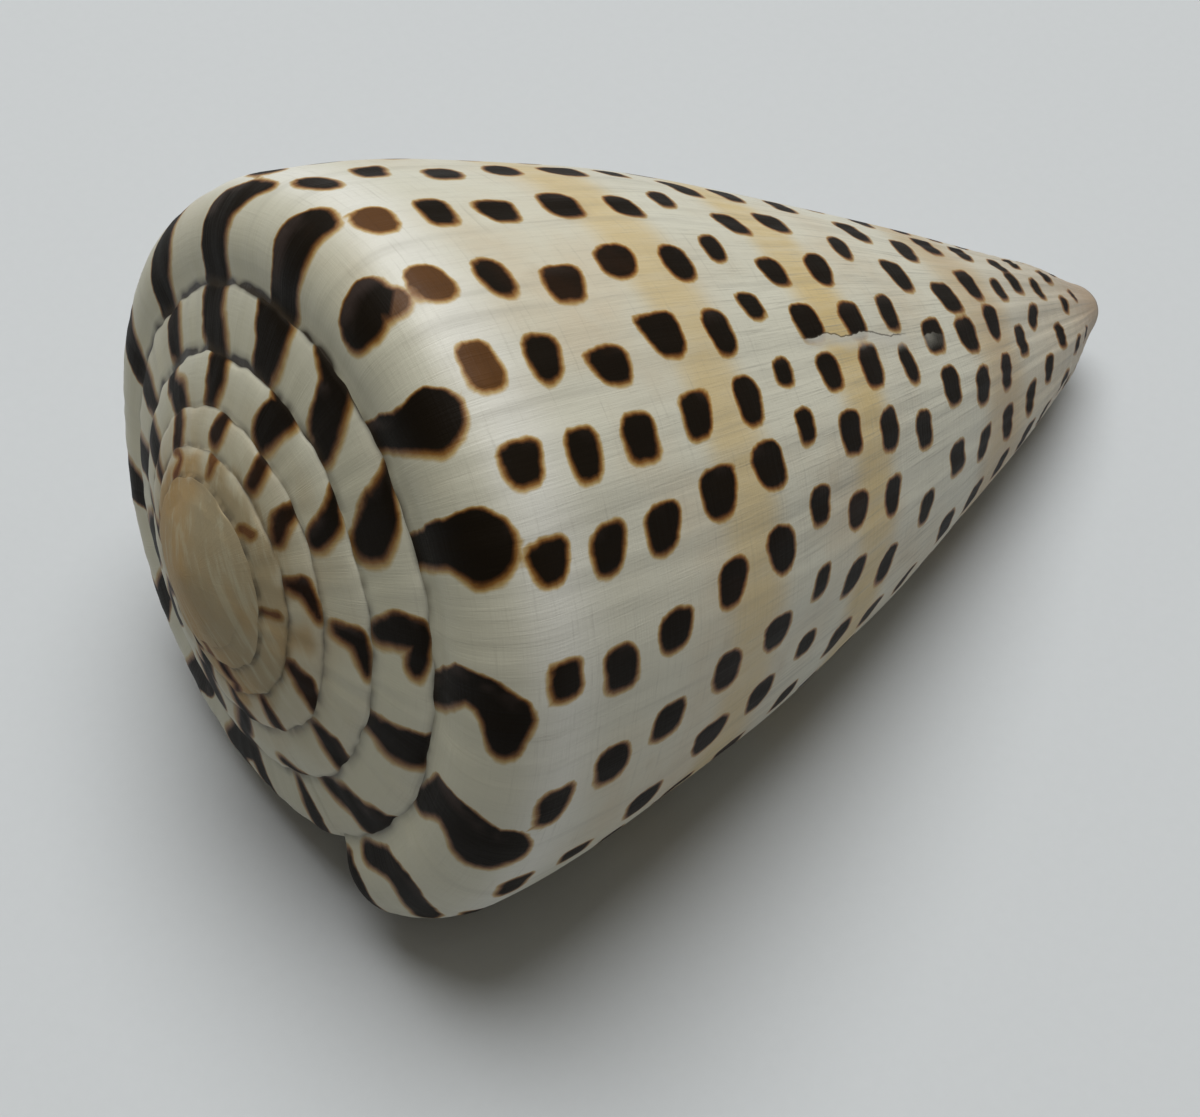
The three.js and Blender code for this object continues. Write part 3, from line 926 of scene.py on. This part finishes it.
def add(kind, inputs=None, **settings):
    """Adds a node, sets its settings, and sets or links its inputs by name or number."""
    new = tree.nodes.new("ShaderNode" + kind)
    for name, value in settings.items():
        setattr(new, name, value)
    for name, value in (inputs or {}).items():
        if isinstance(value, bpy.types.NodeSocket):
            tree.links.new(value, new.inputs[name])
        else:
            new.inputs[name].default_value = value
    return new


def read(name, output="Fac"):
    """An attribute that was stored at the corners of the faces."""
    return add("Attribute", attribute_name=name).outputs[output]


def maths(operation, first, second=0.0, third=0.0):
    """One step of arithmetic on one, two or three values."""
    return add("Math", {0: first, 1: second, 2: third}, operation=operation).outputs[0]


def times(first, second):
    """The product of two values."""
    return maths("MULTIPLY", first, second)


def scaled(value, factor, offset):
    """A value times a factor, plus an offset."""
    return maths("MULTIPLY_ADD", value, factor, offset)


def noise(vector, scale, detail, roughness):
    """Noise between 0 and 1 in the given coordinates."""
    values = {"Vector": vector, "Scale": scale, "Detail": detail, "Roughness": roughness}
    return add("TexNoise", values).outputs["Fac"]


def step_between(value, low, high):
    """A smooth rise from 0 at low to 1 at high."""
    inputs = {"Value": value, "From Min": low, "From Max": high}
    return add("MapRange", inputs, interpolation_type="SMOOTHSTEP").outputs["Result"]


def mix(factor, first, second, blend="MIX"):
    """A mix of two colours, which may be sockets or plain colours."""
    node = add("Mix", {"Factor": factor}, data_type="RGBA", blend_type=blend)
    for number, colour in ((6, first), (7, second)):
        if isinstance(colour, tuple):
            node.inputs[number].default_value = (*colour, 1.0)
        else:
            tree.links.new(colour, node.inputs[number])
    return node.outputs[2]


def ramp(value, stops):
    """A colour that goes in straight lines between the given stops."""
    new = add("ValToRGB", {"Fac": value})
    elements = new.color_ramp.elements
    while len(elements) < len(stops):
        elements.new(0.5)
    for element, (position, colour) in zip(elements, stops):
        element.position = position
        element.color = (*colour, 1.0)
    return new.outputs["Color"]


def stretched(vector, scale):
    """The coordinates scaled differently along each axis."""
    return add("Mapping", {"Vector": vector, "Scale": scale}).outputs[0]


place = add("TexCoord").outputs["Object"]
growth_place = read("growth", "Vector")
along_side = read("side")
worn_share = read("worn")

# Growth lines run across the whorl, faint threads cross them, and the rest is in space.
# Each noise has its scale or scales, its detail and its roughness.
FINE = ((3.2, 0.10, 1.0), 4.0, 0.65)
FINEST = ((8.0, 0.35, 1.0), 3.0, 0.6)
BROAD = ((0.55, 0.04, 1.0), 3.0, 0.55)
THREADS = ((0.14, 3.0, 1.0), 3.0, 0.6)
SCUFFS = ((900.0, 90.0, 1300.0), 4.0, 0.65)
SHUT_SEAMS = ((0.16, 0.0, 1.0), 2.0, 0.5)
CLOUDS = (70.0, 4.0, 0.55)
PATCHES = (190.0, 3.0, 0.5)
GRAIN = (1500.0, 2.0, 0.6)
WOBBLE = (1100.0, 2.0, 0.5)
SLOW_WOBBLE = (330.0, 2.0, 0.5)


def drawn_out(vector, scales, detail, roughness):
    """Noise that is drawn out along each axis by a scale of its own."""
    return noise(stretched(vector, scales), 1.0, detail, roughness)


fine = drawn_out(growth_place, *FINE)
finest = drawn_out(growth_place, *FINEST)
broad = drawn_out(growth_place, *BROAD)
threads = drawn_out(growth_place, *THREADS)
clouds = noise(place, *CLOUDS)
patches = noise(place, *PATCHES)
grain = noise(place, *GRAIN)
leaning = add("VectorRotate", {"Vector": place, "Angle": -math.pi / 4}, rotation_type="X_AXIS")
scuffs = drawn_out(leaning.outputs[0], *SCUFFS)

# The white, its painted highlight on the shoulder, its bands and flushes, then the lines and stains on
# it.
ground = mix(step_between(clouds, 0.42, 0.80), COOL_WHITE, WARM_WHITE)
streaks = scaled(broad, 0.9, scaled(patches, 0.8, 0.10))
# A painted highlight whitens the shoulder.
ground = mix(read("bleached"), ground, PAINTED_HIGHLIGHT_WHITE)
banding = times(read("band"), step_between(streaks, 0.10, 1.15))
ground = mix(banding, ground, CREAM_BAND)
ground = mix(times(read("flush"), FLUSH_SHARE), ground, PEACH)
front = step_between(along_side, 0.05, 0.5)
scratch = times(step_between(fine, 0.50, 0.72), scaled(front, 0.45, 0.10))
ground = mix(scratch, ground, GREY_LINES)
hair = times(step_between(finest, 0.56, 0.74), scaled(front, 0.35, 0.15))
ground = mix(hair, ground, GREY_LINES)
ground = mix(times(step_between(threads, 0.55, 0.75), THREADS_SHARE), ground, GREY_LINES)
ground = mix(times(step_between(broad, 0.50, 0.75), BROAD_SHARE), ground, GREY_LINES)
stained = times(step_between(patches, 0.60, 0.78), step_between(clouds, 0.45, 0.6))
ground = mix(times(stained, STAIN_SHARE), ground, STAIN)
ground = mix(times(read("chalk"), CHALK_SHARE), ground, CHALK_GREY)
beige = mix(step_between(clouds, 0.4, 0.6), WORN_BEIGE, WORN_GREY)
beige = mix(times(step_between(scuffs, 0.48, 0.66), SCUFFS_SHARE), beige, CHALK_GREY)
ground = mix(times(worn_share, scaled(patches, 0.6, 0.65)), ground, beige)

# The pigment is thinner towards a mark's edge, over a wider rim on the side of the lip.
wobble = scaled(noise(place, *WOBBLE), 0.30, -0.15)
slow_wobble = scaled(noise(place, *SLOW_WOBBLE), 0.70, -0.35)
distance = maths("ADD", read("mark"), maths("ADD", wobble, slow_wobble))
distance = scaled(worn_share, 0.25, distance)
rim_width = times(read("halo"), scaled(read("newer"), 0.70, 1.10))
depth = maths("DIVIDE", maths("SUBTRACT", -0.02, distance), rim_width)
deepest = maths("SUBTRACT", 1.0, times(read("rust"), 0.30))
mottled = times(step_between(clouds, 0.5, 0.7), 0.06)
depth = maths("MINIMUM", depth, maths("SUBTRACT", deepest, mottled))
marked = mix(1.0, ground, ramp(depth, PIGMENT), "MULTIPLY")
veiled = times(step_between(read("newer"), -0.1, -0.7), step_between(patches, 0.48, 0.62))
veiled = times(veiled, step_between(depth, 0.6, 1.0))
marked = mix(times(veiled, VEIL_SHARE), marked, OLD_VEIL)

# Just past the scar the marks are covered with mended white, and a broken crack lies
# along it.  Dark cracks and painted crevice shade lie along the sutures; the inside is porcelain white.
past_scar = scaled(wobble, 1.6, read("scar"))
along_scar = read("scar_length")
mended = times(step_between(past_scar, -0.05, 0.08), step_between(past_scar, 1.5, 0.1))
mended = times(mended, times(along_scar, step_between(patches, 0.30, 0.55)))
marked = mix(times(mended, MENDED_SHARE), marked, MENDED)
crack = times(step_between(past_scar, -0.14, -0.04), step_between(past_scar, 0.08, 0.0))
crack = times(crack, times(along_scar, step_between(patches, 0.42, 0.55)))
marked = mix(times(crack, CRACK_SHARE), marked, SEAM_BROWN)
shut = step_between(drawn_out(growth_place, *SHUT_SEAMS), 0.38, 0.62)
# The sutures' dark cracks and painted crevice shade.
seam_share = times(read("seam"), scaled(shut, 0.75, 0.25))
marked = mix(seam_share, marked, SEAM_BROWN)
tree.links.new(mix(read("inside"), marked, PORCELAIN), glaze.inputs["Base Color"])

# The white is rougher where growth lines and wear break the glaze, and the pigment is
# duller still.  The same lines stand out a little as bump.
pigmented = step_between(depth, 0.3, 1.0)
rough = GLAZE_ROUGHNESS
for value, share in ((clouds, 0.16), (fine, 0.14), (pigmented, 0.12), (worn_share, 0.25)):
    rough = scaled(value, share, rough)
tree.links.new(rough, glaze.inputs["Roughness"])
specular = scaled(pigmented, PIGMENT_SPECULAR - GLAZE_SPECULAR, GLAZE_SPECULAR)
tree.links.new(specular, glaze.inputs["Specular IOR Level"])
glaze.inputs["IOR"].default_value = GLAZE_IOR

height = times(grain, 0.15)
for value, share in ((fine, 0.6), (broad, 0.5), (finest, 0.3), (threads, 0.5)):
    height = scaled(value, share, height)
height = scaled(times(scuffs, worn_share), 1.6, height)
bump = add("Bump", {"Height": height, "Strength": BUMP_STRENGTH, "Distance": BUMP_HEIGHT})
tree.links.new(bump.outputs["Normal"], glaze.inputs["Normal"])
mesh.materials.append(material)

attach(shell, "root")
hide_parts("cone_shell")

# The shell lies on a sheet of pale matt card, which is large enough to fill the view.
# Its fibres make it a little lighter in places.
CARD_HALF_SIDE = 2.0
CARD_COLOUR = (0.522, 0.541, 0.553)
CARD_ROUGHNESS = 0.85
FIBRE = (900.0, 3.0, 0.6)
FIBRE_LIGHTER = 1.04
card_mesh = bpy.data.meshes.new("card")
card_corners = CARD_HALF_SIDE * np.array([(-1, -1, 0), (1, -1, 0), (1, 1, 0), (-1, 1, 0)])
card_mesh.from_pydata(card_corners.tolist(), [], [(0, 1, 2, 3)])
card_mesh.update()
card = new_object("card", card_mesh)
card_material = bpy.data.materials.new("card")
card_material.use_nodes = True
tree = card_material.node_tree
paper = tree.nodes["Principled BSDF"]
fibre = noise(add("TexCoord").outputs["Object"], *FIBRE)
lighter_card = tuple(FIBRE_LIGHTER * share for share in CARD_COLOUR)
tree.links.new(mix(fibre, CARD_COLOUR, lighter_card), paper.inputs["Base Color"])
paper.inputs["Roughness"].default_value = CARD_ROUGHNESS
card_mesh.materials.append(card_material)

# The camera stands where the photograph was taken, sixteen centimetres away, so that the
# near shoulder looms.  Azimuth 0 looks along +Y.  The card, camera and lamp are in metres.
CAMERA_AZIMUTH = math.radians(-38.78)
CAMERA_ELEVATION = math.radians(51.95)
CAMERA_ROLL = math.radians(5.21)
CAMERA_DISTANCE = 0.16217
CAMERA_TARGET = Vector((-0.01543, -0.00520, 0.01595))
LENS = 59.21
SENSOR = 36.0
level = math.cos(CAMERA_ELEVATION)
forward = Vector((
    -math.sin(CAMERA_AZIMUTH) * level,
    math.cos(CAMERA_AZIMUTH) * level,
    -math.sin(CAMERA_ELEVATION),
))
camera_data = bpy.data.cameras.new("camera")
camera_data.sensor_width = SENSOR
camera_data.lens = LENS
camera_data.clip_start = 0.01
camera = new_object("camera", camera_data)
camera.location = CAMERA_TARGET - CAMERA_DISTANCE * forward
camera.rotation_mode = "QUATERNION"
camera.rotation_quaternion = forward.to_track_quat("-Z", "Y") @ Quaternion((0, 0, 1), CAMERA_ROLL)
bpy.context.scene.camera = camera

# Soft daylight comes from one round skylight, above the shell and a little beyond it.
# It is wide and near, so that the shadow has a soft edge.
SKYLIGHT_PLACE = Vector((0.15, 0.37, 1.42))
SKYLIGHT_WIDTH = 1.24
SKYLIGHT_POWER = 22.4
SKYLIGHT_COLOUR = (0.970, 0.985, 1.0)
skylight = bpy.data.lights.new("skylight", "AREA")
skylight.shape = "DISK"
skylight.size = SKYLIGHT_WIDTH
skylight.energy = SKYLIGHT_POWER
skylight.color = SKYLIGHT_COLOUR
lamp = new_object("skylight", skylight)
lamp.location = SKYLIGHT_PLACE
lamp.rotation_mode = "QUATERNION"
lamp.rotation_quaternion = (-SKYLIGHT_PLACE).to_track_quat("-Z", "Y")

# The room has dim warm walls and a paler ceiling, which is brightest beyond the shell.
# At eye level and below, past the card's edge, the pale table goes on.
WALL_COLOUR = (1.0, 0.900, 0.720)
WALL_STRENGTH = 0.080
CEILING_COLOUR = (1.0, 0.985, 0.900)
CEILING_STRENGTH = 0.35
BRIGHTEST_WAY = (0.34, 0.42, 0.84)
CEILING_FROM = 0.1
TABLE_COLOUR = (0.96, 0.98, 1.0)
TABLE_STRENGTH = 0.22
HORIZON = (0.01, 0.05)
room = bpy.data.worlds.new("room")
room.use_nodes = True
tree = room.node_tree
outwards = add("TexCoord").outputs["Generated"]
facing = add("VectorMath", {0: outwards, 1: BRIGHTEST_WAY}, operation="DOT_PRODUCT").outputs["Value"]
ceiling = add("MapRange", {"Value": facing, "From Min": CEILING_FROM, "From Max": 1.0}).outputs["Result"]
brightness = scaled(ceiling, CEILING_STRENGTH - WALL_STRENGTH, WALL_STRENGTH)
upwards = add("SeparateXYZ", {0: outwards}).outputs["Z"]
above_table = step_between(upwards, *HORIZON)
brighter = maths("SUBTRACT", brightness, TABLE_STRENGTH)
brightness = scaled(above_table, brighter, TABLE_STRENGTH)
room_colour = mix(ceiling, WALL_COLOUR, CEILING_COLOUR)
sky = tree.nodes["Background"]
tree.links.new(mix(above_table, TABLE_COLOUR, room_colour), sky.inputs["Color"])
tree.links.new(brightness, sky.inputs["Strength"])
bpy.context.scene.world = room
bpy.context.scene.view_settings.view_transform = "Standard"
